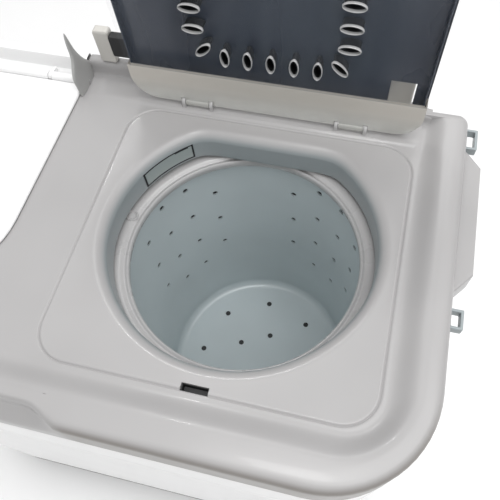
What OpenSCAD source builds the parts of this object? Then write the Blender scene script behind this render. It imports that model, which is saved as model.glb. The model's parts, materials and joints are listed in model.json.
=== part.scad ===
// Twin-tub washing machine: a wash tub with a pulsator on the left and a spin dryer on the right.
// Millimetres. X runs to the machine's right, Y to its back and Z up.
// The origin is the centre of the footprint, on the floor.

/* [Cabinet] */
// Width of the top deck
body_w = 780; // [780:1:800]
// Depth of the top deck, front to back
body_d = 400; // [400:1:410]
// Height of the recessed deck floor above the ground
deck_z = 860; // [850:1:900]
// Height of the raised rim above the recessed floor
rim_h = 12; // [8:1:16]
// Radius of the two front corners in plan
front_r = 100; // [80:1:110]
// Wall thickness of the plastic mouldings
wall = 3; // [2.5:0.5:4]
// Depth of the skirt that hangs down round the deck
deck_skirt_h = 60; // [50:1:70]

/* [Spin side] */
// Spin axis, from the machine's centre line
spin_x = 186; // [184:1:188]
// Spin axis, from the middle of the depth
spin_y = 13; // [11:1:15]
// Radius of the round opening in the deck
opening_r = 134; // [132:1:136]
// Distance from the spin axis to the opening's flat back
opening_flat = 113; // [110:1:115]
// Inside radius of the basket's wall
basket_r = 132.5; // [131:0.5:133]
// Inside radius of the basket's mouth
mouth_r = 120; // [116:1:122]
// Depth of the basket's mouth below the deck floor
mouth_depth = 45; // [44:1:48]
// Depth of the basket's floor below the deck floor
basket_depth = 402; // [380:1:404]

/* [Wash side] */
// Left edge of the wash opening
wash_left = -354; // [-356:1:-350]
// Right edge of the wash opening
wash_right = -40; // [-44:1:-40]
// Front edge of the wash opening
wash_front = -107; // [-110:1:-100]
// Back edge of the wash opening
wash_back = 184; // [180:1:184]
// Depth of the wash tub's floor below the deck floor
wash_depth = 430; // [400:1:440]

/* [Lids] */
// Half the width of the spin lid
lid_half = 155.5; // [152:0.5:156]
// Length of the spin lid from its hinge to its front edge
lid_len = 307; // [300:1:308]
// Half the width of one hinge knuckle
knuckle_half = 13; // [11:1:14]
// Radius of the hinge pins
pin_r = 2; // [1.8:0.1:2.2]

/* [Controls] */
// Radius of the dial knobs
knob_r = 28; // [24:1:30]
// Height of the dials above the ground
knob_z = 762; // [755:1:765]

/* [Hidden] */
$fn = 96;
e = 0.01;
running = 0.05;
rim_z = deck_z + rim_h;
skirt_z = rim_z - deck_skirt_h;
half_w = body_w / 2;
half_d = body_d / 2;
// Deck: recess outline, rear ledge and lid seat
crease_side = 34;
crease_front = 44;
crease_r = 60;
ledge_d = 12;
ledge_h = 20;
ledge_half = half_w - 39;
seat_front = 157;
seat_back = 137;
seat_r = 34;
lid_cx = spin_x - 1.5;
slot_w = 25;
slot_d = 7;
slot_y = spin_y - 153.5;
scoop_half = 84;
scoop_d = 14;
// Cabinet below the deck
gap_skirt = 4;
sheet = 2.5;
base_top = 60;
base_floor = 30;
foot_x = 325;
foot_y = 135;
screw_x = [-half_w + 20, half_w - 20];
screw_z = [90, 310, 530, 750];
// Spin lid
hinge_y = spin_y + 150;
hinge_z = deck_z + 7;
panel_t = 3;
lid_flange = 10;
cover_t = 2.5;
cover_low = 33;
lug_x = [spin_x - 86, spin_x + 83];
ear_t = 4;
vent_w = 7;
vent_l = 20;
vent_row_z = 73;
vent_row_x = [-46, -23, 0, 23, 46];
vent_side_x = 74;
vent_side_z = [104, 127, 150, 173, 196, 219];
// Spin unit
ring_out = 138;
basket_floor_z = deck_z - basket_depth;
mouth_z = deck_z - mouth_depth;
basket_t = 2;
column_pitch = 15.4;
casing_r = 145;
casing_z = basket_floor_z - 28;
spin_shaft_r = 8;
drum_z = 300;
drum_r = 48;
stator_z = 130;
stator_h = 120;
// Wash unit
wash_cx = (wash_left + wash_right) / 2;
wash_cy = (wash_front + wash_back) / 2;
wash_floor_z = deck_z - wash_depth;
wash_r = 90;
wash_rear_r = 30;
pulley_z = 330;
pulley_r = 95;
small_r = 22;
motor_x = wash_cx - 93;
motor_y = wash_cy - 118;
pulley_gap = norm([motor_x - wash_cx, motor_y - wash_cy]);
wash_hinge_y = spin_y + 158;
wash_hinge_z = deck_z + 4;
fin_x = wash_right + 1.5;
// Control positions along the fascia
dial_x = [-250, -155, -60];
front_reach = 18;

// A rectangle with its own radius at the front and at the back corners
module plan(x0, x1, y0, y1, rf, rb) {
    union() {
        translate([x0 + rf, y0]) square([x1 - x0 - 2 * rf, rf + e]);
        translate([x0, y0 + rf]) square([x1 - x0, y1 - y0 - rf - rb]);
        translate([x0 + rb, y1 - rb - e]) square([x1 - x0 - 2 * rb, rb + e]);
        for (x = [x0 + rf, x1 - rf]) translate([x, y0 + rf]) circle(r = rf);
        for (x = [x0 + rb, x1 - rb]) translate([x, y1 - rb]) circle(r = rb);
    }
}

// The deck's outline, drawn in by a distance
module deck_plan(inset) {
    plan(-half_w + inset, half_w - inset, -half_d + inset, half_d - inset, front_r - inset,
         12 - min(inset, 10));
}

// The recessed floor's outline, grown by a distance
module recess_plan(grow) {
    plan(-half_w + crease_side - grow, half_w - crease_side + grow, -half_d + crease_front - grow,
         half_d - ledge_d + grow, crease_r + grow, 6);
}

// The round spin opening with its flat back, grown by a distance
module opening_plan(grow) {
    translate([spin_x, spin_y]) intersection() {
        circle(r = opening_r + grow, $fn = 180);
        translate([-200, -200]) square([400, 200 + opening_flat + grow]);
    }
}

// The wash opening's outline, grown by a distance
module wash_plan(grow) {
    plan(wash_left - grow, wash_right + grow, wash_front - grow, wash_back + grow, wash_r + grow,
         wash_rear_r + grow);
}

// The lid seat's outline, drawn in by a distance
module seat_plan(inset) {
    plan(lid_cx - lid_half + inset, lid_cx + lid_half - inset, spin_y - seat_front + inset,
         spin_y + seat_back - inset, seat_r - inset, seat_r - inset);
}

// The grip scoop in the front edge
module scoop_plan(grow) {
    x = scoop_half + grow;
    y = -half_d + scoop_d + grow;
    polygon([[-x, -half_d - 5], [-x, -half_d], [-x + 30, y], [x - 30, y], [x, -half_d], [x, -half_d - 5]]);
}

module slab(z0, z1) {
    translate([0, 0, z0]) linear_extrude(z1 - z0) children();
}

module tube(r_out, r_in, h) {
    difference() {
        cylinder(r = r_out, h = h);
        translate([0, 0, -1]) cylinder(r = r_in, h = h + 2);
    }
}

// ---- Cabinet ----

module top_deck() {
    color("gainsboro") difference() {
        union() {
            slab(deck_z - wall, deck_z) recess_plan(wall);
            slab(deck_z - wall, rim_z) difference() {
                recess_plan(wall);
                recess_plan(0);
            }
            slab(rim_z - wall, rim_z) difference() {
                deck_plan(0);
                recess_plan(0);
            }
            slab(skirt_z, rim_z) difference() {
                deck_plan(0);
                deck_plan(wall);
            }
            translate([-ledge_half, half_d - ledge_d, rim_z - wall])
                cube([2 * ledge_half, ledge_d, ledge_h - rim_h + wall]);
            slab(rim_z - 29, rim_z) intersection() {
                deck_plan(0);
                scoop_plan(wall);
            }
        }
        slab(rim_z - 26, rim_z + 1) scoop_plan(0);
        slab(deck_z - 5, deck_z + 1) opening_plan(0);
        slab(deck_z - 5, deck_z + 1) wash_plan(0);
        slab(deck_z - 1.5, deck_z + 1) difference() {
            seat_plan(-1);
            seat_plan(3);
        }
        translate([lid_cx - slot_w / 2, slot_y - slot_d / 2, deck_z - 5]) cube([slot_w, slot_d, 10]);
    }
}

module cabinet_wrap() {
    color("whitesmoke") difference() {
        slab(base_top, rim_z - wall) difference() {
            deck_plan(gap_skirt);
            deck_plan(gap_skirt + sheet);
        }
        translate([-half_w + 24, half_d - 30, base_top - 1]) cube([body_w - 48, 40, skirt_z - base_top + 1]);
        translate([-half_w + 24, half_d - 30, skirt_z - 1]) cube([body_w - 48, 40, 100]);
        slab(rim_z - 31, rim_z) scoop_plan(wall + 2);
        screw_holes();
        for (x = dial_x) translate([x, -half_d, knob_z]) rotate([90, 0, 0])
            cylinder(r = 12, h = 20, center = true);
    }
}

module rear_cover() {
    color("lightgray") difference() {
        translate([-half_w + 16, half_d - gap_skirt, base_top])
            cube([body_w - 32, 2, skirt_z - base_top - 1]);
        for (z = [200 : 24 : 320]) translate([160, half_d - 10, z]) cube([120, 20, 8]);
        translate([-300, half_d - 10, 100]) rotate([-90, 0, 0]) cylinder(r = 17, h = 20);
        translate([-120, half_d - 10, 790]) rotate([-90, 0, 0]) cylinder(r = 13, h = 20);
        translate([330, half_d - 10, 120]) rotate([-90, 0, 0]) cylinder(r = 8, h = 20);
        screw_holes();
    }
}

module screw_holes() {
    for (x = screw_x, z = screw_z) translate([x, half_d - 10, z]) rotate([-90, 0, 0])
        cylinder(r = 2, h = 20);
}

module cover_screws() {
    color("silver") for (x = screw_x, z = screw_z)
        translate([x, half_d - gap_skirt - 4, z]) rotate([-90, 0, 0]) {
            cylinder(r = 1.95, h = 6);
            translate([0, 0, 6]) cylinder(r1 = 4, r2 = 3, h = 2);
        }
}

module base_tray() {
    color("dimgray") union() {
        slab(base_floor, base_floor + wall) deck_plan(gap_skirt);
        slab(base_floor, base_top) difference() {
            deck_plan(gap_skirt);
            deck_plan(gap_skirt + wall);
        }
        for (x = [-120, 30]) translate([x, -half_d + 8, base_floor]) cube([wall, body_d - 16, 20]);
    }
}

module feet() {
    color("black") for (x = [-foot_x, foot_x], y = [-foot_y, foot_y])
        translate([x, y, 0]) {
            cylinder(r1 = 22, r2 = 18, h = 22);
            cylinder(r = 12, h = base_floor);
        }
}

module control_fascia() {
    color("lightsteelblue") difference() {
        slab(knob_z - 46, skirt_z - 1) intersection() {
            difference() {
                deck_plan(0);
                deck_plan(gap_skirt);
            }
            translate([-half_w, -half_d - 1]) square([body_w, front_r + 20]);
        }
        for (x = dial_x) translate([x, -half_d, knob_z]) rotate([90, 0, 0])
            cylinder(r = 5, h = 20, center = true);
    }
}

module side_handles() {
    color("gainsboro") for (s = [-1, 1]) difference() {
        slab(skirt_z + 10, skirt_z + 40)
            polygon([[s * half_w, -3], [s * (half_w + 19), 21], [s * (half_w + 19), 147],
                     [s * half_w, 170]]);
        slab(skirt_z, skirt_z + 37)
            polygon([[s * (half_w - 1), 8], [s * (half_w + 14.5), 27], [s * (half_w + 14.5), 141],
                     [s * (half_w - 1), 160]]);
    }
}

module cord_hooks() {
    color("lightsteelblue") for (y = [[171, 27], [-35, 20]])
        translate([half_w, y[0], skirt_z + 28]) difference() {
            cube([14, y[1], 10]);
            translate([3, 3, -1]) cube([8, y[1] - 6, 12]);
        }
}

// ---- Wash side ----

module wash_tub() {
    color("lightsteelblue") difference() {
        union() {
            slab(wash_floor_z - wall, deck_z - wall) wash_plan(wall);
            slab(deck_z - 2 * wall, deck_z - wall) wash_plan(12);
        }
        slab(wash_floor_z, deck_z) wash_plan(0);
        translate([wash_cx, wash_cy, wash_floor_z - 5]) cylinder(r = 20, h = 10);
        translate([wash_right - 30, wash_cy + 60, wash_floor_z - 5]) cylinder(r = 14, h = 10);
    }
}

module lint_filter() {
    color("royalblue") translate([wash_left, wash_cy, 0]) difference() {
        translate([e, -30, 600]) cube([14, 60, 130]);
        translate([3, -24, 606]) cube([14, 48, 118]);
        for (z = [614 : 12 : 710], y = [-20 : 10 : 20]) translate([-1, y, z]) rotate([0, 90, 0])
            cylinder(r = 2, h = 6);
    }
}

module overflow_pipe() {
    color("white") translate([wash_right - 14, wash_cy + 88, wash_floor_z]) difference() {
        cylinder(r = 12, h = 300);
        translate([0, 0, -1]) cylinder(r = 9.5, h = 302);
        for (z = [40 : 25 : 265]) translate([0, 0, z]) rotate([0, -90, 0]) cylinder(r = 3, h = 20);
    }
}

module pulsator() {
    color("white") translate([wash_cx, wash_cy, wash_floor_z + 4]) difference() {
        union() {
            rotate_extrude($fn = 120)
                polygon([[0, 0], [108, 0], [112, 5], [108, 10], [34, 16], [18, 34], [0, 36]]);
            for (a = [0 : 60 : 300]) rotate([0, 0, a]) translate([12, -5, 6])
                rotate([90, 0, 90]) linear_extrude(88) polygon([[0, 0], [10, 0], [7, 20], [3, 20]]);
        }
        translate([0, 0, -1]) cylinder(r = 8, h = 20);
    }
}

module pulsator_shaft() {
    color("silver") translate([wash_cx, wash_cy, pulley_z - 12])
        cylinder(r = 8, h = wash_floor_z + 35 - pulley_z);
}

module wash_bearing() {
    color("dimgray") translate([wash_cx, wash_cy, wash_floor_z - wall - 60]) difference() {
        union() {
            cylinder(r = 16, h = 60);
            translate([0, 0, 54]) cylinder(r = 46, h = 6);
            for (a = [45 : 90 : 315]) rotate([0, 0, a]) translate([14, -2, 24])
                rotate([90, 0, 0]) mirror([0, 0, 1]) linear_extrude(4) polygon([[0, 0], [0, 30], [28, 30]]);
        }
        translate([0, 0, -1]) cylinder(r = 8 + running, h = 62);
    }
}

module wash_seal() {
    color("black") translate([wash_cx, wash_cy, wash_floor_z - wall])
        tube(20 - e, 8 + running, wall + 2);
}

module large_pulley() {
    color("ivory") translate([wash_cx, wash_cy, pulley_z]) difference() {
        union() {
            cylinder(r = pulley_r, h = 14);
            cylinder(r = pulley_r + 8, h = 2);
            translate([0, 0, 12]) cylinder(r = pulley_r + 8, h = 2);
        }
        translate([0, 0, -1]) cylinder(r = 8, h = 16);
        for (a = [0 : 60 : 300]) rotate([0, 0, a]) translate([55, 0, -1]) cylinder(r = 20, h = 16);
    }
}

module motor_pulley() {
    color("silver") translate([motor_x, motor_y, pulley_z]) difference() {
        union() {
            cylinder(r = small_r, h = 14);
            cylinder(r = small_r + 8, h = 2);
            translate([0, 0, 12]) cylinder(r = small_r + 8, h = 2);
        }
        translate([0, 0, -1]) cylinder(r = 7, h = 16);
    }
}

// The band round two circles, as its filled outline, with the large circle at the origin
module band_plan(r_big, r_small) {
    lean = acos((r_big - r_small) / pulley_gap);
    turn = atan2(motor_y - wash_cy, motor_x - wash_cx);
    rotate(turn) union() {
        circle(r = r_big, $fn = 120);
        translate([pulley_gap, 0]) circle(r = r_small, $fn = 72);
        polygon([
            [r_big * cos(lean), r_big * sin(lean)],
            [pulley_gap + r_small * cos(lean), r_small * sin(lean)],
            [pulley_gap + r_small * cos(lean), -r_small * sin(lean)],
            [r_big * cos(lean), -r_big * sin(lean)]
        ]);
    }
}

module drive_belt() {
    color("black") translate([wash_cx, wash_cy, pulley_z + 2.5]) linear_extrude(9) difference() {
        band_plan(pulley_r + 6, small_r + 6);
        band_plan(pulley_r + 0.4, small_r + 0.4);
    }
}

module wash_rotor() {
    color("silver") translate([motor_x, motor_y, 0]) {
        translate([0, 0, 170]) cylinder(r = 7, h = pulley_z + 22 - 170);
        translate([0, 0, 200]) cylinder(r = 34, h = 70);
    }
}

// A motor's shell: an open-cored stack between two end caps that carry the shaft
module motor_shell(r, core, h, shaft) {
    difference() {
        union() {
            cylinder(r = r - 6, h = h);
            translate([0, 0, 16]) cylinder(r = r, h = h - 32);
        }
        translate([0, 0, 10]) cylinder(r = core, h = h - 20);
        translate([0, 0, -1]) cylinder(r = shaft + running, h = h + 2);
    }
}

module wash_motor() {
    color("slategray") translate([motor_x, motor_y, 180]) motor_shell(60, 36, 120, 7);
}

module motor_bracket() {
    color("gray") difference() {
        union() {
            translate([motor_x - 62, motor_y - 50, 300]) cube([124, 100, 4]);
            for (leg = [[-54, -40], [54, -40], [-54, 44], [54, 44]])
                translate([motor_x + leg[0], motor_y + leg[1], base_floor + wall])
                    cylinder(r = 6, h = 300 - base_floor - wall);
        }
        translate([motor_x, motor_y, 298]) cylinder(r = 12, h = 10);
    }
}

module wash_lid() {
    color("white") difference() {
        union() {
            slab(deck_z + 0.4, deck_z + 5) plan(wash_left - 1.2, wash_right + 1.2, wash_front - 1.2,
                wash_hinge_y - 5, wash_r + 1.2, 12);
            slab(deck_z - 6, deck_z + 1) difference() {
                plan(wash_left + 6, wash_right - 6, wash_front + 6, wash_hinge_y - 8, wash_r - 6, 10);
                plan(wash_left + 8.5, wash_right - 8.5, wash_front + 8.5, wash_hinge_y - 10.5,
                    wash_r - 8.5, 8);
            }
            for (x = [wash_left + 36, wash_right - 38]) translate([x, wash_hinge_y, wash_hinge_z]) {
                rotate([0, 90, 0]) cylinder(r = 5, h = 26);
                translate([0, -12, -4]) cube([26, 12, 5]);
            }
        }
        for (x = [wash_left + 36, wash_right - 38]) translate([x - 1, wash_hinge_y, wash_hinge_z])
            rotate([0, 90, 0]) cylinder(r = pin_r + running, h = 28);
    }
}

module wash_hinge_pins() {
    color("silver") {
        translate([wash_left + 30.5, wash_hinge_y, wash_hinge_z]) rotate([0, 90, 0])
            cylinder(r = pin_r, h = 37);
        translate([wash_right - 43.5, wash_hinge_y, wash_hinge_z]) rotate([0, 90, 0])
            cylinder(r = pin_r, h = 51);
    }
}

module hinge_fin() {
    color("darkgray") difference() {
        union() {
            for (x = [wash_left + 31, wash_left + 63, wash_right - 43]) translate([x, wash_hinge_y, 0]) {
                translate([0, 0, wash_hinge_z]) rotate([0, 90, 0]) cylinder(r = 4.5, h = 4);
                translate([0, 0, deck_z - wall]) cube([4, wash_back - wash_hinge_y, 9]);
            }
            translate([fin_x, spin_y + 139, deck_z]) rotate([90, 0, 90]) linear_extrude(5)
                polygon([[-2, 0], [-3, 25], [2, 35], [9, 44], [10, 53], [11, 66], [14, 76], [16, 64],
                         [18.5, 51], [26, 34], [36, 20], [36, 0]]);
        }
        for (x = [wash_left + 26, wash_right - 48]) translate([x, wash_hinge_y, wash_hinge_z])
            rotate([0, 90, 0]) cylinder(r = pin_r, h = 60);
    }
}

// ---- Spin side ----

module spin_casing() {
    color("lightgray") translate([spin_x, spin_y, casing_z]) difference() {
        union() {
            cylinder(r = casing_r + wall, h = deck_z - 6 - casing_z);
            translate([60, 85, -14]) cylinder(r = 14, h = 16);
        }
        translate([0, 0, wall]) cylinder(r = casing_r, h = 500);
        translate([0, 0, -1]) cylinder(r = 30, h = 10);
        translate([60, 85, -20]) cylinder(r = 11, h = 30);
    }
}

module spin_skirt() {
    color("lightsteelblue") difference() {
        union() {
            slab(deck_z - 36, deck_z - wall) opening_plan(2.5);
            slab(deck_z - 6, deck_z - wall) translate([spin_x, spin_y]) circle(r = casing_r + wall);
        }
        slab(deck_z - 40, deck_z) opening_plan(0);
        window_cut(0);
    }
}

// The shower window's block in the skirt's rear left, shrunk by a gap
module window_cut(gap) {
    intersection() {
        slab(deck_z - 28 + gap, deck_z - 8 - gap) difference() {
            opening_plan(6);
            opening_plan(-1);
        }
        translate([spin_x, spin_y, 0]) rotate([0, 0, 140]) translate([0, -31 + gap, 0])
            cube([200, 62 - 2 * gap, deck_z]);
    }
}

module shower_window() {
    color("aliceblue") intersection() {
        window_cut(0);
        slab(0, deck_z) difference() {
            opening_plan(2.5);
            opening_plan(0);
        }
    }
}

function hole_z(first, k) = first + 60 * k + 1.8 * k * (k - 1);

module spin_basket() {
    color("lightsteelblue") translate([spin_x, spin_y, 0]) difference() {
        translate([0, 0, basket_floor_z]) rotate_extrude($fn = 180) union() {
            difference() {
                square([basket_r + basket_t, mouth_z - 12 - basket_floor_z]);
                translate([-1, basket_t]) square([basket_r + 1, 500]);
            }
            translate([0, -14]) square([34, 15]);
        }
        translate([0, 0, basket_floor_z - 15]) cylinder(r = spin_shaft_r, h = 12);
        for (group = [10.5 : 90 : 280.5], c = [0 : 3]) rotate([0, 0, group + 45 + (c - 1.5) * column_pitch])
            basket_column(c == 0 || c == 3 ? 113 : 83, c == 0 || c == 3 ? 3 : 4);
        for (k = [0 : 7]) rotate([0, 0, 3.5 + 45 * k]) translate([92, 0, basket_floor_z - 5])
            cylinder(r = 4, h = 12, $fn = 24);
        for (a = [77.5, 154.5, 257.5, 334.5]) rotate([0, 0, a]) translate([38.5, 0, basket_floor_z - 5])
            cylinder(r = 4, h = 12, $fn = 24);
    }
}

module basket_column(first, count) {
    for (k = [0 : count - 1]) translate([120, 0, deck_z - hole_z(first, k)])
        rotate([0, 90, 0]) cylinder(r = 2.8, h = 30, $fn = 24);
}

module balance_ring() {
    color("white") translate([spin_x, spin_y, mouth_z]) rotate_extrude($fn = 180)
        polygon([[mouth_r, -3], [mouth_r + 1.5, 0], [mouth_r + 5, 2.5], [mouth_r + 9, 4], [ring_out - 4, 4],
                 [ring_out, 0], [ring_out, -12], [basket_r, -12], [basket_r - 3, -9], [mouth_r + 2, -9]]);
}

module spin_shaft() {
    color("silver") translate([spin_x, spin_y, stator_z - 8])
        cylinder(r = spin_shaft_r, h = basket_floor_z - 3 - stator_z + 8);
}

module spin_bearing() {
    color("dimgray") translate([spin_x, spin_y, casing_z - 26]) difference() {
        union() {
            cylinder(r = 24, h = 22);
            translate([0, 0, 22]) cylinder(r = 44, h = 4);
        }
        translate([0, 0, -1]) cylinder(r = spin_shaft_r + running, h = 40);
    }
}

module bellows_seal() {
    color("black") translate([spin_x, spin_y, casing_z]) rotate_extrude()
        polygon([[spin_shaft_r + running, 0], [30 - e, 0], [30 - e, wall], [24, wall], [20, 6], [23, 8],
                 [18, 11], [spin_shaft_r + running, 11]]);
}

module brake_drum() {
    color("gray") translate([spin_x, spin_y, drum_z]) difference() {
        union() {
            cylinder(r = drum_r, h = 4);
            tube(drum_r, drum_r - 4, 28);
            cylinder(r = 16, h = 30);
        }
        translate([0, 0, -1]) cylinder(r = spin_shaft_r, h = 40);
    }
}

module brake_lever() {
    color("dimgray") translate([spin_x, spin_y, drum_z + 8]) difference() {
        union() {
            linear_extrude(14) intersection() {
                difference() {
                    circle(r = drum_r + 6);
                    circle(r = drum_r + 0.5);
                }
                translate([0, -22]) square([80, 44]);
            }
            translate([drum_r + 5, -22, 0]) cube([9, 92, 14]);
            translate([drum_r + 9.5, -28, 0]) cylinder(r = 9, h = 14);
        }
        translate([drum_r + 9.5, -28, -1]) cylinder(r = 4 + running, h = 16);
    }
}

module brake_pivot() {
    color("silver") translate([spin_x + drum_r + 9.5, spin_y - 28, stator_z + stator_h])
        cylinder(r = 4, h = drum_z + 26 - stator_z - stator_h);
}

module spin_rotor() {
    color("silver") translate([spin_x, spin_y, stator_z + 20]) tube(40, spin_shaft_r, 80);
}

module spin_motor() {
    color("slategray") translate([spin_x, spin_y, stator_z]) union() {
        motor_shell(66, 42, stator_h, spin_shaft_r);
        difference() {
            for (a = [30 : 120 : 270]) rotate([0, 0, a]) translate([50, -14, 0]) cube([70, 28, 5]);
            translate([0, 0, -1]) cylinder(r = 58, h = 8);
        }
        translate([drum_r + 0.5, -37, stator_h - 20]) cube([18, 18, 20]);
    }
}

spring_turns = 5;
spring_r = 13;
wire_r = 1.8;
spring_low = 47;
spring_high = 128;
coil_steps = 14;
function coil_point(t) = [spring_r * cos(360 * t), spring_r * sin(360 * t),
    spring_low + (spring_high - spring_low) * t / spring_turns];
function coil_ring(t) = [for (k = [0 : 5])
    coil_point(t) + wire_r * (cos(60 * k) * [cos(360 * t), sin(360 * t), 0] + sin(60 * k) * [0, 0, 1])];

module coil_spring() {
    n = spring_turns * coil_steps;
    points = [for (i = [0 : n]) each coil_ring(i / coil_steps)];
    sides = [for (i = [0 : n - 1], k = [0 : 5])
        [6 * i + k, 6 * i + (k + 1) % 6, 6 * (i + 1) + (k + 1) % 6, 6 * (i + 1) + k]];
    polyhedron(points, concat([[5, 4, 3, 2, 1, 0]], sides, [[for (k = [0 : 5]) 6 * n + k]]));
}

module suspension_springs() {
    color("silver") for (a = [30 : 120 : 270])
        translate([spin_x + 106 * cos(a), spin_y + 106 * sin(a), 0]) coil_spring();
}

module rubber_mounts() {
    color("black") for (a = [30 : 120 : 270])
        translate([spin_x + 106 * cos(a), spin_y + 106 * sin(a), base_floor + wall]) {
            cylinder(r = 18, h = 12);
            cylinder(r = 9, h = 40);
        }
}

// ---- Spin lid, standing open ----

// The lid's outline in its own plane: x across, y up from the hinge line, drawn in by a distance
module lid_plan(inset) {
    plan(-lid_half + inset, lid_half - inset, 1 + inset, lid_len - inset, 28 - inset, seat_r - inset);
}

module stand() {
    translate([lid_cx, hinge_y, hinge_z]) rotate([90, 0, 0]) children();
}

module vents(w, l, z, depth) {
    for (x = vent_row_x) translate([x, vent_row_z, z]) vent(w, l, 0, depth);
    for (s = [-1, 1]) translate([s * 67, 80, z]) vent(w, l, s * 45, depth);
    for (s = [-1, 1], y = vent_side_z) translate([s * vent_side_x, y, z]) vent(w, l, 90, depth);
}

// One eye-shaped vent: the overlap of two arcs, each passing through both tips
module vent(w, l, turn, depth) {
    arc_r = (l * l + w * w) / (4 * w);
    rotate(turn) intersection() {
        translate([w / 2 - arc_r, 0, 0]) cylinder(r = arc_r, h = depth, $fn = 96);
        translate([arc_r - w / 2, 0, 0]) cylinder(r = arc_r, h = depth, $fn = 96);
    }
}

module spin_lid_panel() {
    color("aliceblue", 0.5) difference() {
        stand() difference() {
            union() {
                linear_extrude(panel_t) lid_plan(0);
                translate([0, 0, -lid_flange]) linear_extrude(lid_flange + panel_t) difference() {
                    lid_plan(0);
                    lid_plan(2.5);
                }
                vents(vent_w + 3, vent_l + 5, 0, panel_t + 2);
                translate([-10, lid_len - 5, 0]) cube([20, 3, panel_t + 10]);
            }
            vents(vent_w, vent_l, -1, 10);
            for (x = lug_x) translate([x - lid_cx - knuckle_half - ear_t - 1, -8, -20])
                cube([2 * knuckle_half + 2 * ear_t + 2, 15, 40]);
        }
    }
    color("aliceblue", 0.5) difference() {
        for (x = lug_x) translate([x - knuckle_half, hinge_y, hinge_z]) {
            rotate([0, 90, 0]) cylinder(r = 5, h = 2 * knuckle_half);
            translate([0, -3, 0]) cube([2 * knuckle_half, 3, 12]);
        }
        for (x = lug_x) translate([x - knuckle_half - 1, hinge_y, hinge_z]) rotate([0, 90, 0])
            cylinder(r = pin_r + running, h = 2 * knuckle_half + 2);
    }
}

module spin_lid_cover() {
    color("slategray") stand() translate([0, 0, -lid_flange - cover_t]) linear_extrude(cover_t)
        difference() {
            lid_plan(0);
            translate([-lid_half, 0]) square([2 * lid_half, cover_low]);
            translate([spin_x + 115 - lid_cx, cover_low - 1]) square([25, 30]);
        }
}

module hinge_brackets() {
    color("whitesmoke") difference() {
        for (x = lug_x, s = [-1, 1])
            translate([x + s * (knuckle_half + 0.5) - (s < 0 ? ear_t : 0), hinge_y - 6, deck_z]) {
            cube([ear_t, 12, 7]);
            translate([0, 6, 7]) rotate([0, 90, 0]) cylinder(r = 6, h = ear_t);
        }
        for (x = lug_x) translate([x - 20, hinge_y, hinge_z]) rotate([0, 90, 0])
            cylinder(r = pin_r, h = 40);
    }
}

module spin_hinge_pins() {
    color("silver") for (x = lug_x) translate([x - knuckle_half - ear_t - 0.5, hinge_y, hinge_z])
        rotate([0, 90, 0]) cylinder(r = pin_r, h = 2 * (knuckle_half + ear_t + 0.5));
}

module lid_stop_posts() {
    color("whitesmoke") {
        translate([spin_x - 205, half_d - ledge_d, rim_z + ledge_h - rim_h]) cube([18, 11, 44]);
        translate([spin_x + 115, half_d - ledge_d, rim_z + ledge_h - rim_h]) cube([25, 11, 42]);
    }
}

module lid_buffers() {
    color("black") {
        translate([spin_x - 187, half_d - ledge_d - 2, rim_z + ledge_h - rim_h + 13]) cube([30, 10, 27]);
    }
}

module lid_switch() {
    color("black") translate([lid_cx, slot_y, deck_z]) difference() {
        translate([-16, -15, -36]) cube([32, 19.5, 33]);
        translate([-11.5, -3, -32]) cube([23, 6, 40]);
    }
}

module lid_plunger() {
    color("dimgray") translate([lid_cx - 11, slot_y - 2.5, deck_z - 20]) cube([22, 5, 10]);
}

// ---- Controls ----

module timer_body(x, depth) {
    translate([x, -half_d + gap_skirt + sheet, knob_z]) rotate([-90, 0, 0]) difference() {
        union() {
            cylinder(r = 24, h = depth);
            translate([-30, -8, 0]) cube([60, 16, 2]);
        }
        translate([0, 0, -1]) cylinder(r = 3 + running, h = 12);
    }
}

module wash_timer() {
    color("ivory") timer_body(dial_x[0], 32);
}

module selector_switch() {
    color("ivory") timer_body(dial_x[1], 22);
}

module spin_timer() {
    color("ivory") timer_body(dial_x[2], 26);
}

module dial(x) {
    translate([x, -half_d - 0.5, knob_z]) rotate([90, 0, 0]) {
        cylinder(r = knob_r, h = 5);
        translate([0, 0, 5]) cylinder(r1 = knob_r - 5, r2 = knob_r - 8, h = 4);
        translate([-5, -knob_r + 6, 5]) cube([10, 2 * knob_r - 12, front_reach - 5.5]);
        translate([0, 0, -16]) cylinder(r = 3, h = 17);
    }
}

module wash_timer_knob() {
    color("steelblue") dial(dial_x[0]);
}

module selector_knob() {
    color("steelblue") dial(dial_x[1]);
}

module spin_timer_knob() {
    color("steelblue") dial(dial_x[2]);
}

// ---- Water and power ----

module drain_valve() {
    color("gray") translate([wash_right - 30, wash_cy + 60, 0]) difference() {
        union() {
            translate([0, 0, wash_floor_z - 73]) cylinder(r = 20, h = 70);
            translate([0, 0, wash_floor_z - 60]) rotate([0, -90, 45]) cylinder(r = 10, h = 40);
        }
        translate([0, 0, wash_floor_z - 70]) cylinder(r = 14, h = 80);
        translate([0, 0, wash_floor_z - 80]) cylinder(r = 3 + running, h = 20);
        translate([0, 0, wash_floor_z - 60]) rotate([0, -90, 45]) cylinder(r = 7, h = 50);
    }
}

module drain_plunger() {
    color("black") translate([wash_right - 30, wash_cy + 60, wash_floor_z - 110]) union() {
        cylinder(r = 3, h = 80);
        translate([0, 0, 60]) cylinder(r = 12.5, h = 20);
        cylinder(r = 8, h = 5);
    }
}

module drain_spigot() {
    color("black") translate([-300, half_d - 10, 100]) rotate([-90, 0, 0]) difference() {
        union() {
            cylinder(r = 14, h = 10 + front_reach);
            translate([0, 0, -4]) cylinder(r = 22, h = 9.9);
        }
        translate([0, 0, -10]) cylinder(r = 11, h = 60);
    }
}

module water_inlet() {
    color("ivory") translate([-120, half_d - 10, 790]) rotate([-90, 0, 0]) difference() {
        union() {
            cylinder(r = 12, h = 10 + front_reach);
            translate([0, 0, 0]) cylinder(r = 18, h = 5.9);
        }
        translate([0, 0, -1]) cylinder(r = 9, h = 60);
    }
}

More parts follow.
